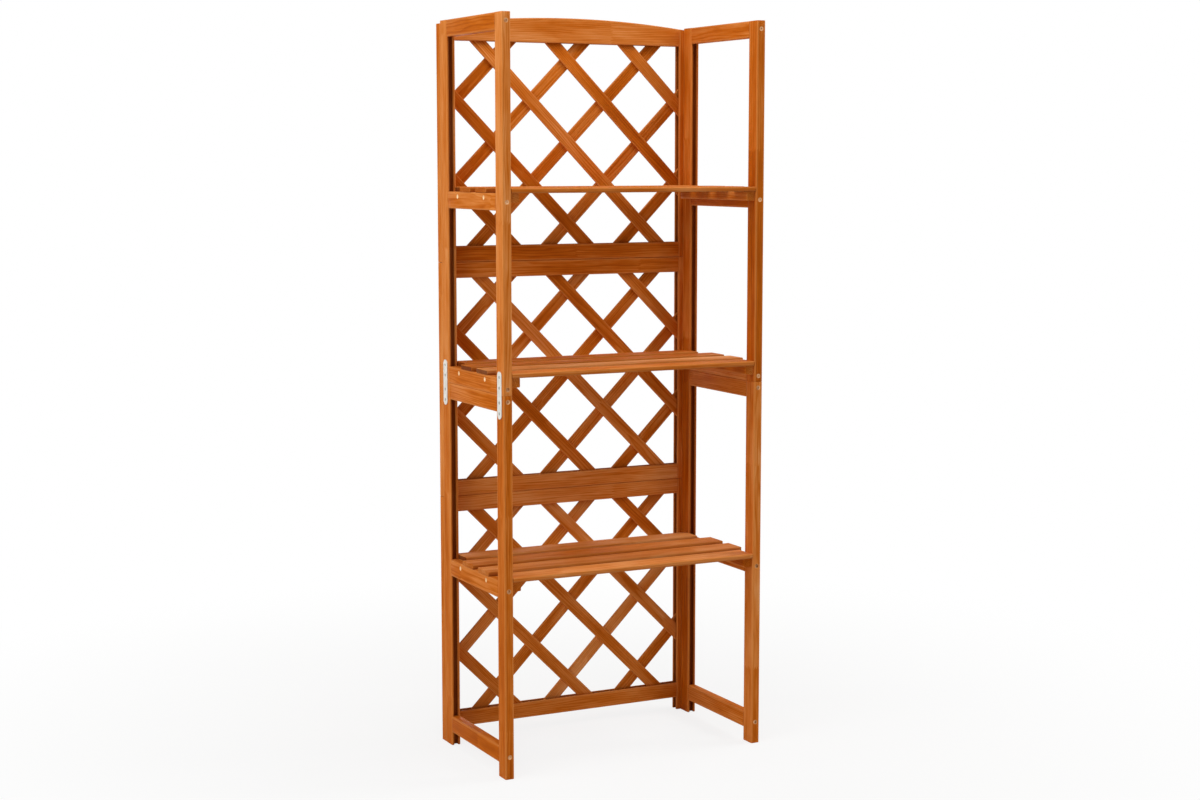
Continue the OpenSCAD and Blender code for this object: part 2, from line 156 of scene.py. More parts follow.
def eased_profile(corners, radii, sunk):
    """Outline of a stick in thickness u and width v, counter-clockwise. Each right-angled corner P becomes a quarter
    circle, P - d0 r (1 - sin q) + d1 r (1 - cos q), where d0 and d1 lead into and out of the corner. Each flat gets a
    point 2.5 mm, or a third of the flat, in from each end. Also gives each point's nearness to an outer edge, and how
    much darker it is painted there: in grooves partly pooled stain and partly painted shade, on the slats painted
    shade."""
    corners, r, sunk = np.array(corners, float), np.array(radii, float), np.array(sunk, float)
    out = np.roll(corners, -1, 0) - corners
    lengths = np.linalg.norm(out, axis=1)
    d1 = out / lengths[:, None]
    d0 = np.roll(d1, 1, 0)
    q = np.linspace(0, np.pi / 2, EASE_POINTS)[None, :, None]
    r3 = r[:, None, None]
    arc = corners[:, None] - d0[:, None] * r3 * (1 - np.sin(q)) + d1[:, None] * r3 * (1 - np.cos(q))
    flat = lengths - r - np.roll(r, -1)
    guard = np.minimum(FLAT_GUARD, flat / 3)
    along = np.stack([r + guard, r + flat - guard], axis=1)
    inner = corners[:, None] + d1[:, None] * along[:, :, None]
    outer = d0[:, 0] * d1[:, 1] - d0[:, 1] * d1[:, 0] > 0
    edge = np.hstack([np.repeat(outer[:, None], EASE_POINTS, 1), np.zeros((len(corners), FLAT_POINTS))])
    change = (np.roll(sunk, -1) - sunk)[:, None] * along / lengths[:, None]
    deep = np.hstack([np.repeat(sunk[:, None], EASE_POINTS, 1), sunk[:, None] + change])
    return np.concatenate([arc, inner], axis=1).reshape(-1, 2), edge.ravel(), deep.ravel()


def grooved(t, w, groove_w, groove_d, ease):
    """Outline of a stick t thick and w wide with a groove in the middle of its inner edge, v = w, painted darker along
    the groove, partly for pooled stain and partly as painted shade."""
    a, b = (t - groove_w) / 2, (t + groove_w) / 2
    corners = [(0, 0), (t, 0), (t, w), (b, w), (b, w - groove_d), (a, w - groove_d), (a, w), (0, w)]
    radii = [ease, ease, ease, LIP_EASE, GROOVE_EASE, GROOVE_EASE, LIP_EASE, ease]
    return eased_profile(corners, radii, [0, 0, 0, 0.5, 1, 1, 0.5, 0])


def plain(t, w, ease, dark=(0, 0, 0, 0)):
    """Outline of a plain stick t thick and w wide; dark says how much darker each corner is painted, which on the
    slats is painted shade.
    """
    return eased_profile([(0, 0), (t, 0), (t, w), (0, w)], [ease] * 4, dark)


def lofted(profile, length, place, holes=(), sink=(), stations=(), form=None, end_ease=END_EASE, end_stain_and_shade=END_STAIN):
    """A stick: its outline carried along a from 0 to length, drawn in by end_ease over a quarter circle at both ends,
    with a point at 45 degrees, and capped within one more ring, on which wear and the painted dark of grooves and
    slat faces end.
    form bends the coordinates (a, u, v); place = (origin, along, u axis, v axis) puts them into the room. Where these
    axes are left-handed, all faces run the other way round, so that they look outwards.
    A hole (flat, a, u, v) opens that flat: its quads beside the hole give way to two faces that meet round a circle,
    and rings lead from there down the countersink, sink = ((radius, depth), ...), to a small disc.
    The last argument says how dark the sawn ends are: end grain that drank more stain, and on the short slats'
    recessed ends painted shade as well."""
    points, edge, deep = profile
    n, ring, quarter = len(points), HOLE_POINTS, HOLE_POINTS // 4
    hole_reach = HOLE_MARGIN * sink[0][0] if sink else 0.0
    side = np.roll(points, -1, 0) - np.roll(points, 1, 0)
    inward = np.stack([-side[:, 1], side[:, 0]], axis=1) / np.linalg.norm(side, axis=1)[:, None]
    hole_ends = [h[1] + d for h in holes for d in (-hole_reach, hole_reach)]
    between = np.unique(np.round([*stations, *hole_ends], 7))
    bow = np.array([0.0, 0.0, END_MIDWAY, 1.0]) * end_ease
    draw = np.array([CAP_INSET, 1.0, END_MIDWAY, 0.0]) * end_ease
    s = np.concatenate([bow, between, length - bow[::-1]])
    inset = np.concatenate([draw, np.zeros(len(between)), draw[::-1]])
    worn = np.ones(len(s))
    worn[[0, -1]] = 0.0
    outlines = points[None] + inward[None] * inset[:, None, None]
    local = np.dstack([np.broadcast_to(s[:, None], (len(s), n)), outlines]).reshape(-1, 3)
    if form is not None:
        local = form(local)
    k, i = np.meshgrid(np.arange(len(s) - 1), np.arange(n), indexing="ij")
    quads = np.dstack([k * n + i, k * n + (i + 1) % n, (k + 1) * n + (i + 1) % n, (k + 1) * n + i])
    whole = np.ones(k.shape, bool)
    turn = np.linspace(0, 2 * np.pi, ring, endpoint=False)[:, None]
    verts, cut_corners, cut_sizes, cut_raw = [local], [], [], []
    for m, (flat, a, u, v) in enumerate(holes):
        rows = np.flatnonzero(abs(s - a) < hole_reach + 1e-6)
        col = (EASE_POINTS + FLAT_POINTS) * flat + EASE_POINTS
        whole[rows[:-1], col] = False
        near, far = rows * n + col, rows * n + col + 1
        d = (points[col + 1] - points[col]) / np.linalg.norm(points[col + 1] - points[col])
        radius, depth = np.array(sink).T[:, :, None, None]
        round_a, round_uv, down = np.array([1.0, 0, 0]), np.array([0, *d]), np.array([0, -d[1], d[0]])
        circle = np.cos(turn) * round_uv + np.sin(turn) * round_a
        verts.append((np.array([a, u, v]) + radius * circle + depth * down).reshape(-1, 3))
        c = len(local) + m * ring * len(sink) + np.arange(ring)
        after = np.roll(c, -1)
        far_face = np.concatenate([far, near[-1:], c[np.arange(quarter, -quarter - 1, -1)]])
        near_face = np.concatenate([near[::-1], far[:1], c[3 * quarter:quarter - 1:-1]])
        level = ring * np.arange(len(sink) - 1)[:, None]
        wall = np.dstack([c + level, after + level, after + level + ring, c + level + ring])
        cut_corners += [far_face, near_face, wall.ravel(), c + ring * (len(sink) - 1)]
        cut_sizes += [[len(far_face), len(near_face)], np.full(wall.size // 4, 4), [ring]]
        cut_raw += [np.zeros(2), np.ones(wall.size // 4 + 1)]
    local = np.concatenate(verts)
    in_pits = np.zeros(len(local) - len(s) * n)
    kept = int(whole.sum())
    faces = {"corners": [quads[whole].ravel(), np.arange(n)[::-1], (len(s) - 1) * n + np.arange(n), *cut_corners],
             "sizes": [np.full(kept, 4), [n, n], *cut_sizes], "raw": [np.zeros(kept + 2), *cut_raw],
             "sawn": [np.zeros(kept), np.full(2, end_stain_and_shade), *(0 * r for r in cut_raw)]}
    order = 1 if np.linalg.det(place[1:]) > 0 else -1
    # The groove values carry the painted dark: pooled stain and painted shade in grooves, painted shade on the slats'
    # faces.
    return {"verts": np.asarray(place[0]) + local @ np.array(place[1:]), "grain": local,
            "edge": np.concatenate([np.outer(worn, edge).ravel(), in_pits]),
            "groove": np.concatenate([np.outer(worn, deep).ravel(), in_pits]),
            **{key: np.concatenate(values)[::order] for key, values in faces.items()}}


def closed_piece(name, material, parts):
    """One object of closed parts, with their vertices, faces and values put end to end and edges sharper than
    40 degrees kept sharp."""
    whole = {key: np.concatenate([part[key] for part in parts]) for key in parts[0] if key != "corners"}
    starts = np.cumsum([0, *(len(part["verts"]) for part in parts)])
    corners = np.concatenate([part["corners"] + start for part, start in zip(parts, starts)])
    mesh = bpy.data.meshes.new(name)
    mesh.vertices.add(len(whole["verts"]))
    mesh.vertices.foreach_set("co", whole["verts"].astype(np.float32).ravel())
    mesh.loops.add(len(corners))
    mesh.loops.foreach_set("vertex_index", corners.astype(np.int32))
    mesh.polygons.add(len(whole["sizes"]))
    mesh.polygons.foreach_set("loop_start", (np.cumsum(whole["sizes"]) - whole["sizes"]).astype(np.int32))
    mesh.update(calc_edges=True)
    for key in sorted(whole.keys() & {"grain", "edge", "groove", "tone", "sawn", "raw"}):
        kind, field = ("FLOAT_VECTOR", "vector") if key == "grain" else ("FLOAT", "value")
        values = mesh.attributes.new(key, kind, "FACE" if key in ("sawn", "raw") else "POINT")
        values.data.foreach_set(field, whole[key].astype(np.float32).ravel())
    mesh.shade_smooth()
    mesh.set_sharp_from_angle(angle=SHARP_ANGLE)
    mesh.materials.append(material)
    piece = bpy.data.objects.new(name, mesh)
    bpy.context.scene.collection.objects.link(piece)
    return piece


def stands_for(node, slot, material, *parts):
    """Makes the piece that takes the place of a CAD node, rides on the one rigid body and has one of the finishes."""
    piece = closed_piece(f"{node}.{slot}", material, parts)
    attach(piece, "root")
    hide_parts(node)


def wooden(node, *sticks, paler=0.0):
    """A wooden piece. Each stick has its own place in the log and its own take-up of stain: its grain starts at a
    random point along the log, the pith lies 14 to 55 mm from it in any direction, and paler says how much paler the
    piece is painted, partly for less stain that the wood drank and partly as painted light and shade."""
    for stick in sticks:
        off, round_pith = rng.uniform(PITH_NEAR, PITH_FAR), rng.uniform(0, 2 * np.pi)
        stick["grain"] = stick["grain"] + [rng.uniform(0, LOG_L), off * np.cos(round_pith), off * np.sin(round_pith)]
        stick["tone"] = np.full(len(stick["verts"]), rng.normal(STAIN, STAIN_SPREAD) - paler)
    stands_for(node, "stained_wood", fir, *sticks)


def span(node):
    """Lowest and highest corner of a CAD node, as arrays."""
    low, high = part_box(node)
    return np.array(low), np.array(high)


def middle_of(node):
    """Middle of a CAD node's box."""
    return sum(span(node)) / 2


def outer_face(side, low, high):
    """Place of the outer face of a piece of one side, and the direction inwards from there."""
    return (low[0], X) if side == "left" else (high[0], -X)


def rail_screw_z(side, half, rail):
    """Height of the screws of a side rail: its middle, but 13 mm from the joint for the two rails that meet there."""
    rise = {("lower", "top_rail"): -JOINT_SCREW_RISE, ("upper", "bottom_rail"): JOINT_SCREW_RISE}
    if (half, rail) in rise:
        return joint_z + rise[half, rail]
    return middle_of(f"{side}_{half}_{rail}")[2]


rng = np.random.default_rng(41)
fir = stained_fir()
joint_z = span("left_lower_front_post")[1][2]
pit_r = SCREW_HEAD_D / 2 + SCREW_PLAY
SCREW_PIT = ((pit_r + PIT_RIM, 0.0), (pit_r, PIT_RIM), (pit_r, SCREW_SINK),
             (SCREW_D / 2 + SCREW_PLAY, SCREW_SINK + SCREW_HEAD_H))
for side in SIDES:
    for half in HALVES:
        for end in ("front", "rear"):
            low, high = span(f"{side}_{half}_{end}_post")
            t, w, length = high - low
            x, inwards = outer_face(side, low, high)
            y, back = (low[1], Y) if end == "front" else (high[1], -Y)
            holes = [(0, rail_screw_z(side, half, rail) - low[2], t / 2, 0.0) for rail in RAILS]
            wooden(f"{side}_{half}_{end}_post", lofted(
                grooved(t, w, POST_GROOVE_W, POST_GROOVE_D, POST_EASE), length,
                ((x, y, low[2]), Z, inwards, back), holes, SCREW_PIT),
                paler=PALER_POSTS_STAIN_AND_LIGHT.get(f"{side}_{half}_{end}_post", 0.0))

# Side rails. Six fir sticks of the posts' section to a side, let into the posts' grooves by stub tongues.
# The ones under a shelf show the two screws that hold the batten on their inner side.
TIERS = ("upper", "middle", "lower")
TONGUE_PLAY, BATTEN_SCREW_EDGE = 0.0002, 0.014
# Tone of single rails, partly their own take-up of stain and partly painted light and shade.
PALER_RAILS_STAIN_AND_LIGHT = {"left_lower_bottom_rail": -0.12, "left_upper_shelf_rail": 0.12, "left_upper_top_rail": 0.06,
               "right_upper_bottom_rail": 0.12, "right_lower_top_rail": -0.10}
CARRIES = {("upper", "shelf_rail"): "upper", ("upper", "bottom_rail"): "middle", ("lower", "shelf_rail"): "lower"}


def batten_screw_ys(tier):
    """Places of a batten's two screws: 14 mm behind the second slat's front edge, and under the gap before the last
    slat."""
    second, third, last = (span(f"{tier}_shelf_slat_{n}") for n in (2, 3, 4))
    return second[0][1] + BATTEN_SCREW_EDGE, (third[1][1] + last[0][1]) / 2


for side in SIDES:
    for half in HALVES:
        front, rear = span(f"{side}_{half}_front_post")[1][1], span(f"{side}_{half}_rear_post")[0][1]
        for rail in RAILS:
            low, high = span(f"{side}_{half}_{rail}")
            t, h = high[0] - low[0], high[2] - low[2]
            x, inwards = outer_face(side, low, high)
            holes = []
            if (half, rail) in CARRIES:
                tier = CARRIES[half, rail]
                screw_z = middle_of(f"{tier}_shelf_{side}_batten")[2]
                holes = [(3, y - front, 0.0, screw_z - low[2]) for y in batten_screw_ys(tier)]
            tongue_t = POST_GROOVE_W - 2 * TONGUE_PLAY
            tongues = [lofted(plain(tongue_t, h - 2 * END_EASE, LIP_EASE), high[1] - rear, (
                (x + inwards[0] * (t - tongue_t) / 2, y, low[2] + END_EASE), Y, inwards, Z)) for y in (low[1], rear)]
            body = lofted(plain(t, h, POST_EASE), rear - front, ((x, front, low[2]), Y, inwards, Z), holes, SCREW_PIT)
            wooden(f"{side}_{half}_{rail}", body, *tongues, paler=PALER_RAILS_STAIN_AND_LIGHT.get(f"{side}_{half}_{rail}", 0.0))

# Battens. Two square fir sticks under each shelf, screwed to the inside of the side rails.
# The slats are screwed to them from below.
BATTEN_END_STAIN, SLATS = 0.2, (1, 2, 3, 4)
for tier in TIERS:
    slat_ys = [middle_of(f"{tier}_shelf_slat_{n}")[1] for n in SLATS]
    for side in SIDES:
        low, high = span(f"{tier}_shelf_{side}_batten")
        w, length, h = high - low
        x, inwards = outer_face(side, low, high)
        holes = [(0, y - low[1], w / 2, 0.0) for y in slat_ys]
        wooden(f"{tier}_shelf_{side}_batten", lofted(
            plain(w, h, POST_EASE), length, ((x, low[1], low[2]), Y, inwards, Z), holes, SCREW_PIT,
            end_stain_and_shade=BATTEN_END_STAIN))

# Slats. Four thin fir boards to a shelf, screwed to the battens from below. The two in the middle lie across the
# side rails and end flush with the side frames; the front and the back one fit between the posts.
# The front and back slats' sawn ends, recessed between the posts, are painted very dark: end-grain stain and painted
# shade.
SLAT_EASE, SHORT_END_STAIN_AND_SHADE, SHOWN_END_DARKNESS = 0.0013, 0.85, {"upper": 0.3, "middle": 0.85, "lower": 0.25}
# Painted shade on the slats: the front face and the underside of each are painted darker at their corners, less on the
# front slat's front face.
FRONT_SLAT_PAINTED_SHADE, SLAT_PAINTED_SHADE = (0.5, 0.7, 0.0, 0.0), (0.9, 0.7, 0.0, 0.25)
# Tone of single slats, partly their own take-up of stain and partly painted light: the slats of the two lower shelves
# are painted paler, as painted light on their tops.
PALER_SLATS_STAIN_AND_LIGHT = {"upper": (0.02, 0.0, 0.0, 0.0), "middle": (0.17, 0.23, -0.02, 0.07), "lower": (0.16, 0.18, 0.06, 0.20)}
for tier in TIERS:
    for n in SLATS:
        low, high = span(f"{tier}_shelf_slat_{n}")
        length, w, t = high - low
        dark = FRONT_SLAT_PAINTED_SHADE if n == 1 else SLAT_PAINTED_SHADE
        # The middle two slats' ends, flush with the side frames, are darkened by a set amount for each shelf, most on
        # the middle shelf.
        end_stain_and_shade = SHORT_END_STAIN_AND_SHADE if n in (1, 4) else SHOWN_END_DARKNESS[tier]
        wooden(f"{tier}_shelf_slat_{n}", lofted(
            plain(w, t, SLAT_EASE, dark), length, (low, X, Y, Z), end_stain_and_shade=end_stain_and_shade), paler=PALER_SLATS_STAIN_AND_LIGHT[tier][n - 1])

# Trellis frames. Three stacked frames of grooved fir sticks, screwed to the rear posts from behind. The lattice sits
# in the grooves. The uppermost rail is cut to a low arch, which the tops of its stiles follow.
TRELLIS_EASE, TRELLIS_GROOVE_W, TRELLIS_GROOVE_D, STACK_GAP = 0.0018, 0.0104, 0.009, 0.0003
TRELLIS_SCREW_INSET, ARCH_END_BELOW_POSTS, ARCH_STEPS = 0.062, 0.0055, 40
# Tone of single trellis rails, partly their own take-up of stain and partly painted light and shade.
PALER_TRELLIS_RAILS_STAIN_AND_LIGHT = {"upper_top_rail": 0.10, "upper_bottom_rail": -0.12, "middle_top_rail": -0.06,
                       "middle_bottom_rail": 0.16, "lower_top_rail": 0.15}
arch_top = span("upper_trellis_top_rail")[1][2]
half_width = span("upper_trellis_right_stile")[1][0]
arch_end = span("left_upper_rear_post")[1][2] - ARCH_END_BELOW_POSTS
arch_rise = arch_top - arch_end
arch_r = (half_width ** 2 + arch_rise ** 2) / (2 * arch_rise)


def arch_z(x):
    """Height of the arched top at x: a circle through both ends and the crown."""
    return arch_top - arch_r + np.sqrt(arch_r ** 2 - x ** 2)


for tier in TIERS:
    for side in SIDES:
        low, high = span(f"{tier}_trellis_{side}_stile")
        low[2] += 0.0 if tier == "lower" else STACK_GAP
        high[2] -= 0.0 if tier == "upper" else STACK_GAP
        w, t, length = high - low
        x, inwards = outer_face(side, low, high)
        fall = 0.0
        if tier == "upper":
            length, fall = arch_end - low[2], (arch_z(half_width - w) - arch_end) / w

        def sloped(c, length=length, fall=fall):
            """Slants the upper end across the width by fall, and leaves the lower end square."""
            return c + np.outer(np.where(c[:, 0] > length - 2 * END_EASE, fall * c[:, 2], 0.0), X)

        from_edge = half_width - abs(middle_of(f"{side}_upper_rear_post")[0])
        holes = [(1, a, t, from_edge) for a in (TRELLIS_SCREW_INSET, length - TRELLIS_SCREW_INSET)]
        wooden(f"{tier}_trellis_{side}_stile", lofted(
            grooved(t, w, TRELLIS_GROOVE_W, TRELLIS_GROOVE_D, TRELLIS_EASE), length,
            ((x, low[1], low[2]), Z, Y, inwards), holes, SCREW_PIT, form=sloped))
    left, right = span(f"{tier}_trellis_left_stile")[1][0], span(f"{tier}_trellis_right_stile")[0][0]
    for rail in ("top_rail", "bottom_rail"):
        low, high = span(f"{tier}_trellis_{rail}")
        low[2] += STACK_GAP if rail == "bottom_rail" and tier != "lower" else 0.0
        high[2] -= STACK_GAP if rail == "top_rail" and tier != "upper" else 0.0
        t, h = high[1] - low[1], high[2] - low[2]
        z, to_groove = (low[2], Z) if rail == "bottom_rail" else (high[2], -Z)
        arched = (tier, rail) == ("upper", "top_rail")
        h -= arch_rise if arched else 0.0

        def bowed(c, h=h, left=left):
            """Lowers the outer half of the outline to the arch and the grooved half by the whole rise."""
            below = arch_top - arch_z(np.clip(c[:, 0] + left, -half_width, half_width))
            return c + np.outer(np.where(c[:, 2] < h / 2, below, arch_rise), Z)

        steps = np.linspace(0, right - left, ARCH_STEPS + 1)[1:-1] if arched else ()
        body = lofted(grooved(t, h, TRELLIS_GROOVE_W, TRELLIS_GROOVE_D, TRELLIS_EASE), right - left,
                      ((left, low[1], z), X, Y, to_groove), stations=steps, form=bowed if arched else None)
        tongue_t, tongue_h = TRELLIS_GROOVE_W - 2 * TONGUE_PLAY, h - TRELLIS_GROOVE_D - TRELLIS_EASE
        tongue_z = z + to_groove[2] * (TRELLIS_EASE + (arch_rise if arched else 0.0))
        tongues = [lofted(plain(tongue_t, tongue_h, LIP_EASE), left - low[0], (
            (x, low[1] + (t - tongue_t) / 2, tongue_z), X, Y, to_groove)) for x in (low[0], right)]
        wooden(f"{tier}_trellis_{rail}", body, *tongues, paler=PALER_TRELLIS_RAILS_STAIN_AND_LIGHT.get(f"{tier}_{rail}", 0.0))

# Lattice. Thin fir strips at 45 degrees in two layers, the front one running down to the right. Their ends are mitred
# along the frame and sit in its groove; the middle strips of both layers cross near the middle of the panel.
STRIP_W, STRIP_PITCH, STRIP_EASE, STRIP_END_EASE, LATTICE_PLAY = 0.028, 0.182, 0.0012, 0.0006, 0.0002
CROSSING_LIFT = {"upper": 0.004, "middle": 0.007, "lower": -0.005}
# Tone of each panel's lattice, partly its own take-up of stain and partly painted light and shade.
PALER_STRIPS_STAIN_AND_LIGHT = {"upper": -0.03, "middle": 0.0, "lower": 0.08}
reach = TRELLIS_GROOVE_D - LATTICE_PLAY
for tier in TIERS:
    left, right = span(f"{tier}_trellis_left_stile")[1][0] - reach, span(f"{tier}_trellis_right_stile")[0][0] + reach
    bottom, top = span(f"{tier}_trellis_bottom_rail")[1][2] - reach, span(f"{tier}_trellis_top_rail")[0][2] + reach
    for layer, slope in (("front", -1.0), ("back", 1.0)):
        low, high = span(f"{tier}_trellis_{layer}_strips")
        along, across = np.array([1.0, 0.0, slope]) / np.sqrt(2), np.array([-slope, 0.0, 1.0]) / np.sqrt(2)
        crossing = np.array([0.0, low[1], (bottom + top) / 2 + CROSSING_LIFT[tier]])
        strips = []
        for n in (-2, -1, 0, 1, 2):
            middle = crossing + across * n * STRIP_PITCH / np.sqrt(2)
            to_stiles = (np.array([left, right]) - middle[0]) / along[0]
            to_rails = np.sort((np.array([bottom, top]) - middle[2]) / along[2])
            first, last = max(to_stiles[0], to_rails[0]), min(to_stiles[1], to_rails[1])
            at_stile = np.array([to_stiles[0] > to_rails[0], to_stiles[1] < to_rails[1]])
            slants = slope * np.where(at_stile, 1, -1)

            def mitred(c, slants=slants, length=last - first):
                """Slants each end along the stile or rail that it meets."""
                slant = slants[0] + (slants[1] - slants[0]) * c[:, 0] / length
                return c + np.outer(slant * (c[:, 2] - STRIP_W / 2), X)

            corner = middle + along * first - across * STRIP_W / 2
            strips.append(lofted(plain(high[1] - low[1], STRIP_W, STRIP_EASE), last - first,
                                 (corner, along, Y, across), form=mitred, end_ease=STRIP_END_EASE))
        wooden(f"{tier}_trellis_{layer}_strips", *strips, paler=PALER_STRIPS_STAIN_AND_LIGHT[tier])

# Joining plates. Flat steel plates punched with round ends and four countersunk holes, bright zinc plated.
# Each is screwed to the outside of the posts, over the joint of the frame halves.
PLATE_W, PLATE_EASE, PLATE_END_EASE, PLATE_HOLES = 0.020, 0.0004, 0.0002, (-0.038, -0.0155, 0.0155, 0.038)
PLATE_END_STEPS, PLATE_TIP, PLATE_SKIN = 8, 0.00005, 0.0001
PLATE_SCREW_HEAD_D, PLATE_SCREW_D = 0.0066, 0.0035


def zinc_plated(name, bright, dull, rough):
    """Zinc-plated steel: a bright skin over the fine marks of rolling or turning, with slow clouds of passivation or
    stain, so that it is silvery or yellow, blurs what it mirrors and is a little uneven in gloss."""
    mark_size, cloud_size, gloss_spread = (0.030, 0.0012), (0.012, 0.009), 0.22
    material = bpy.data.materials.new(name)
    material.use_nodes = True
    tree = material.node_tree
    tree.nodes.clear()
    place = put(tree, "TexCoord", out="Object")
    marks, clouds = (
        put(tree, "TexNoise", {
            "Vector": put(tree, "VectorMath", {0: place, 1: (1 / wide, 1 / wide, 1 / long)}, operation="MULTIPLY"),
            "Scale": 1.0, "Detail": 3.0}, out="Fac")
        for long, wide in (mark_size, cloud_size))
    tint = put(tree, "ValToRGB", {0: clouds}, stops=((0.3, bright), (0.7, dull)))
    gloss = put(tree, "Math", {0: marks, 1: gloss_spread, 2: rough}, operation="MULTIPLY_ADD")
    bump = put(tree, "Bump", {"Strength": 0.25, "Distance": 0.0002, "Height": marks})
    shader = put(tree, "BsdfPrincipled", {"Base Color": tint, "Metallic": 1.0, "Roughness": gloss, "Normal": bump})
    put(tree, "OutputMaterial", {"Surface": shader})
    return material


def round_ended(c):
    """Draws the width in towards both ends, as half circles."""
    a = np.clip(np.minimum(c[:, 0], plate_l - c[:, 0]), PLATE_TIP, PLATE_W / 2) / (PLATE_W / 2)
    return np.column_stack([c[:, :2], PLATE_W / 2 + (c[:, 2] - PLATE_W / 2) * np.sqrt(1 - (1 - a) ** 2)])


bright_zinc = zinc_plated("bright_zinc_plated_sheet_steel", "#DCDBD4", "#C9C8C0", 0.44)
plates_low, plates_high = span("joining_plates")
plate_l, plate_t = plates_high[2] - plates_low[2], span("left_lower_front_post")[0][0] - plates_low[0]
plate_pit = ((PLATE_SCREW_HEAD_D / 2 + SCREW_PLAY, 0.0), (PLATE_SCREW_D / 2 + SCREW_PLAY, plate_t - PLATE_SKIN))
end_curve = PLATE_W / 2 * (1 - np.cos(np.radians(np.linspace(90 / PLATE_END_STEPS, 90, PLATE_END_STEPS))))
plates = []
for side in SIDES:
    x, inwards = outer_face(side, plates_low, plates_high)
    for end in ("front", "rear"):
        y = middle_of(f"{side}_lower_{end}_post")[1]
        plates.append(lofted(
            plain(plate_t, PLATE_W, PLATE_EASE), plate_l, ((x, y - PLATE_W / 2, plates_low[2]), Z, inwards, Y),
            [(3, plate_l / 2 + d, 0.0, PLATE_W / 2) for d in PLATE_HOLES], plate_pit,
            [*end_curve, *(plate_l - end_curve)], round_ended, PLATE_END_EASE))
stands_for("joining_plates", "zinc_steel", bright_zinc, *plates)

# Screws. Countersunk steel screws: long ones with a hexagon socket for posts and rails, shorter ones with a cross
# recess for the trellis, the battens and, from below, the slats, all yellow zinc plated. Stain ran unevenly over the
# heads of those for posts and trellis. The plates' screws are plain zinc.
FRAME_SCREW_L, TRELLIS_SCREW_L, BATTEN_SCREW_L, SLAT_SCREW_L, PLATE_SCREW_L = 0.060, 0.038, 0.034, 0.0255, 0.009
SCREW_POINTS, HEAD_RIM, TIP_L, TIP_SHARE = 36, 0.0002, 0.005, 0.05


def screw(place, into, length, sink=SCREW_SINK, head_d=SCREW_HEAD_D, head_h=SCREW_HEAD_H, d=SCREW_D, socket="cross"):
    """A screw as rings of points round its axis: across the head's flat top from the middle to the rim, down the cone
    and the shank to the tip. A cross recess has sloping walls and rises from where its two slots meet. A hexagon
    socket has steep walls, at half its key's width over the cosine of the angle from the middle of the flat."""
    n = SCREW_POINTS
    turn = np.linspace(0, 2 * np.pi, n, endpoint=False)
    if socket == "hex":
        key, deep, flare = 0.44 * head_d, 0.21 * head_d, 1.03
        hexagon = key / 2 / np.cos(turn % (np.pi / 3) - np.pi / 6)
        top = np.stack([0.5 * hexagon, hexagon, flare * hexagon, np.full(n, head_d / 2)])
        sunk = np.outer([deep, deep, 0, 0], np.ones(n))
    else:
        slot_l, slot_w, deep, slope = 0.30 * head_d, 0.07 * head_d, 0.13 * head_d, 0.06 * head_d
        middle_deep, rise_l, first_ring, rings = 1.15, 0.45 * head_d, 0.06, 9
        top = np.outer(np.linspace(first_ring, 1.0, rings), np.full(n, head_d / 2))
        x, y = abs(top * np.cos(turn)), abs(top * np.sin(turn))
        outside = np.minimum(np.maximum(x - slot_l, y - slot_w), np.maximum(x - slot_w, y - slot_l))
        sunk = deep * np.clip(0.5 - outside / slope, 0, 1) * np.clip(middle_deep - top / rise_l, 0, 1)
    below = np.array([[head_d / 2, HEAD_RIM], [d / 2, head_h], [d / 2, length - TIP_L], [d * TIP_SHARE, length]])
    radius = np.concatenate([top, np.repeat(below[:, :1], n, 1)])[..., None]
    depth = np.concatenate([sunk, np.repeat(below[:, 1:], n, 1)])[..., None] + sink
    u, v = np.roll(into, 1), np.cross(into, np.roll(into, 1))
    verts = np.asarray(place) + radius * (np.outer(np.cos(turn), u) + np.outer(np.sin(turn), v)) + depth * into
    k, i = np.meshgrid(n * np.arange(len(radius) - 1), np.arange(n), indexing="ij")
    quads = np.dstack([k + i, k + (i + 1) % n, k + n + (i + 1) % n, k + n + i])
    return {"verts": verts.reshape(-1, 3),
            "corners": np.concatenate([quads.ravel(), np.arange(n)[::-1], k[-1] + n + i[-1]]),
            "sizes": np.concatenate([np.full(quads.size // 4, 4), [n, n]])}


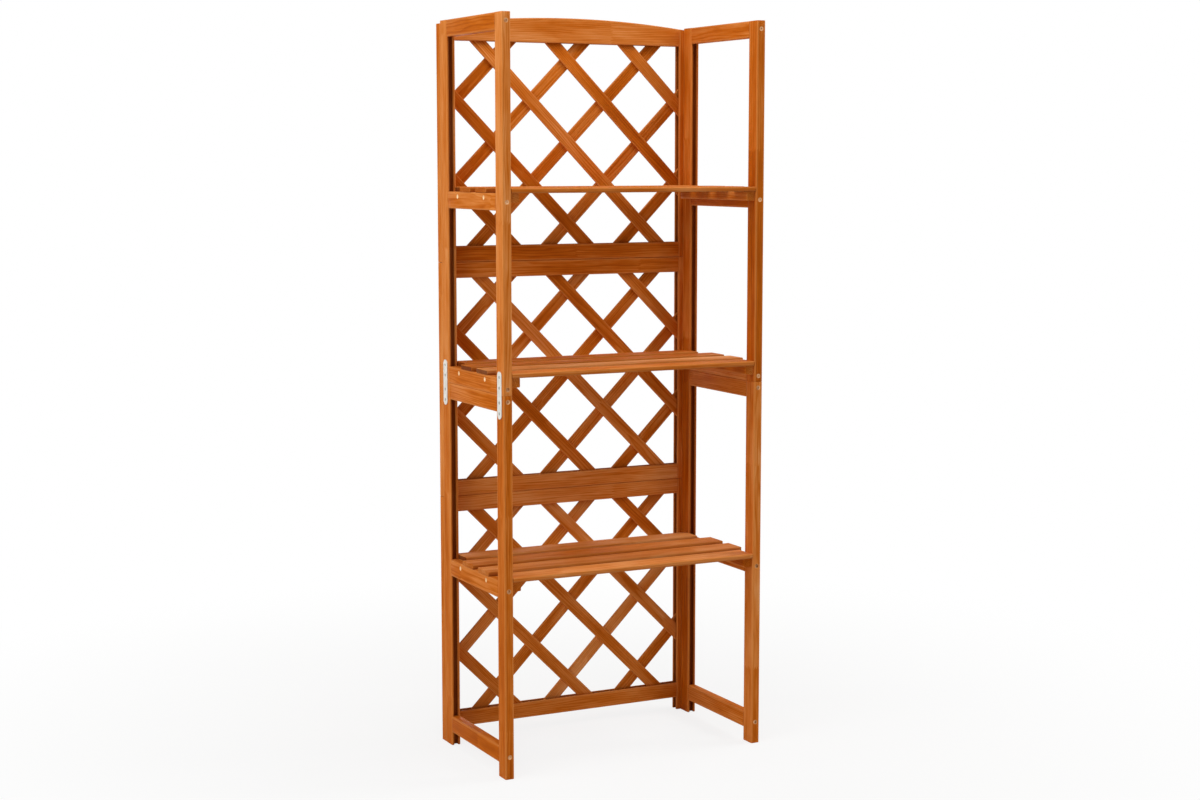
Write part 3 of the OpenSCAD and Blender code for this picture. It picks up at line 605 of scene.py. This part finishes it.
yellow_zinc = zinc_plated("yellow_zinc_plated_steel", "#F0CFA2", "#E2B57C", 0.30)
stained_zinc = zinc_plated("yellow_zinc_plated_steel_stained_over", "#DFB184", "#8A5226", 0.40)
plain_zinc = zinc_plated("zinc_plated_cold_headed_steel", "#A3A19A", "#8A8881", 0.34)
frame_screws, shelf_screws, plate_screws = [], [], []
for side in SIDES:
    low, high = span(f"{side}_upper_front_post")
    x, front, rear = (low[0] + high[0]) / 2, low[1], span(f"{side}_upper_rear_post")[1][1]
    outer, inwards = outer_face(side, low, high)
    for half in HALVES:
        for rail in RAILS:
            z = rail_screw_z(side, half, rail)
            for y, into in ((front, Y), (rear, -Y)):
                frame_screws.append(screw((x, y, z), into, FRAME_SCREW_L, socket="hex"))
    for tier in TIERS:
        low, high = span(f"{tier}_trellis_{side}_stile")
        top = arch_end if tier == "upper" else high[2]
        for z in (low[2] + TRELLIS_SCREW_INSET, top - TRELLIS_SCREW_INSET):
            frame_screws.append(screw((x, high[1], z), -Y, TRELLIS_SCREW_L))
        middle, under = middle_of(f"{tier}_shelf_{side}_batten"), span(f"{tier}_shelf_{side}_batten")[0][2]
        shelf_screws += [screw((outer, y, middle[2]), inwards, BATTEN_SCREW_L) for y in batten_screw_ys(tier)]
        slat_ys = [middle_of(f"{tier}_shelf_slat_{n}")[1] for n in SLATS]
        shelf_screws += [screw((middle[0], y, under), Z, SLAT_SCREW_L) for y in slat_ys]
    for end in ("front", "rear"):
        y = middle_of(f"{side}_lower_{end}_post")[1]
        plate_screws += [screw((outer - inwards[0] * plate_t, y, joint_z + d), inwards, PLATE_SCREW_L, 0.0,
                               PLATE_SCREW_HEAD_D, plate_t, PLATE_SCREW_D) for d in PLATE_HOLES]
stands_for("frame_screws", "yellow_zinc", stained_zinc, *frame_screws)
stands_for("shelf_screws", "yellow_zinc", yellow_zinc, *shelf_screws)
stands_for("plate_screws", "zinc_steel", plain_zinc, *plate_screws)

# Studio. A pale floor that runs out into a white background, and keeps the soft shadow at the shelf's feet.
# Soft lamps hang overhead and high on the right, broad ones stand on the left, on the right, in front and behind, and
# the room adds a little light from all round.
FLOOR_HALF, NEAR, FAR, NEAR_SHARE, ROOM_LIGHT = 14.0, 0.5, 2.0, 0.82, 0.24
scene = bpy.context.scene
scene.view_settings.view_transform = "Standard"
floor_mesh = bpy.data.meshes.new("floor")
floor_mesh.from_pydata(np.array([[-1, -1, 0], [1, -1, 0], [1, 1, 0], [-1, 1, 0]]) * FLOOR_HALF, [], [(0, 1, 2, 3)])
floor = bpy.data.objects.new("floor", floor_mesh)
scene.collection.objects.link(floor)
pale = bpy.data.materials.new("pale_matt_studio_floor")
floor_mesh.materials.append(pale)
scene.world = bpy.data.worlds.new("white_room")
for user in (pale, scene.world):
    user.use_nodes = True
    tree = user.node_tree
    tree.nodes.clear()
    seen = put(tree, "LightPath", out="Is Camera Ray")
    for ray in ("Is Glossy Ray", "Is Transmission Ray"):
        seen = put(tree, "Math", {0: seen, 1: put(tree, "LightPath", out=ray)}, operation="MAXIMUM")
    if user is scene.world:
        strength = put(tree, "Math", {0: seen, 1: 1.0 - ROOM_LIGHT, 2: ROOM_LIGHT}, operation="MULTIPLY_ADD")
        white = put(tree, "Background", {"Color": linear("#FFFFFF"), "Strength": strength})
        put(tree, "OutputWorld", {"Surface": white})
    else:
        distance = put(tree, "VectorMath", {0: put(tree, "TexCoord", out="Object")}, operation="LENGTH", out="Value")
        share = put(tree, "MapRange", {"Value": distance, "From Min": NEAR, "From Max": FAR, "To Min": NEAR_SHARE,
                                       "To Max": 1.0}, interpolation_type="SMOOTHSTEP")
        share = put(tree, "Math", {0: share, 1: seen}, operation="MULTIPLY")
        matt, white = put(tree, "BsdfDiffuse", {"Color": linear("#E4E4E2")}), put(tree, "Emission", {"Strength": 1.0})
        put(tree, "OutputMaterial", {"Surface": put(tree, "MixShader", {0: share, 1: matt, 2: white})})

for name, place, aim, size, watts in (
        ("left_lamp", (-2.4, -0.4, 1.9), (0.0, 0.0, 0.9), 2.4, 42.0),
        ("overhead_lamp", (-0.3, -0.7, 3.4), (0.0, 0.0, 0.9), 0.9, 24.0),
        ("high_right_lamp", (2.4, -0.6, 2.8), (0.0, 0.0, 0.8), 1.2, 42.0),
        ("right_lamp", (3.0, 0.4, 1.2), (0.0, 0.0, 0.8), 1.6, 22.0),
        ("front_lamp", (0.2, -4.2, 1.0), (0.0, 0.0, 0.7), 3.4, 12.0),
        ("back_lamp", (0.3, 3.2, 0.3), (0.0, 0.0, 0.8), 2.0, 39.0)):
    light = bpy.data.lights.new(name, "AREA")
    light.shape, light.size, light.energy = "SQUARE", size, watts
    lamp = bpy.data.objects.new(name, light)
    dx, dy, dz = np.array(place) - np.array(aim)
    lamp.location = place
    lamp.rotation_euler = (np.arctan2(np.hypot(dx, dy), dz), 0.0, np.arctan2(dy, dx) + np.pi / 2)
    scene.collection.objects.link(lamp)
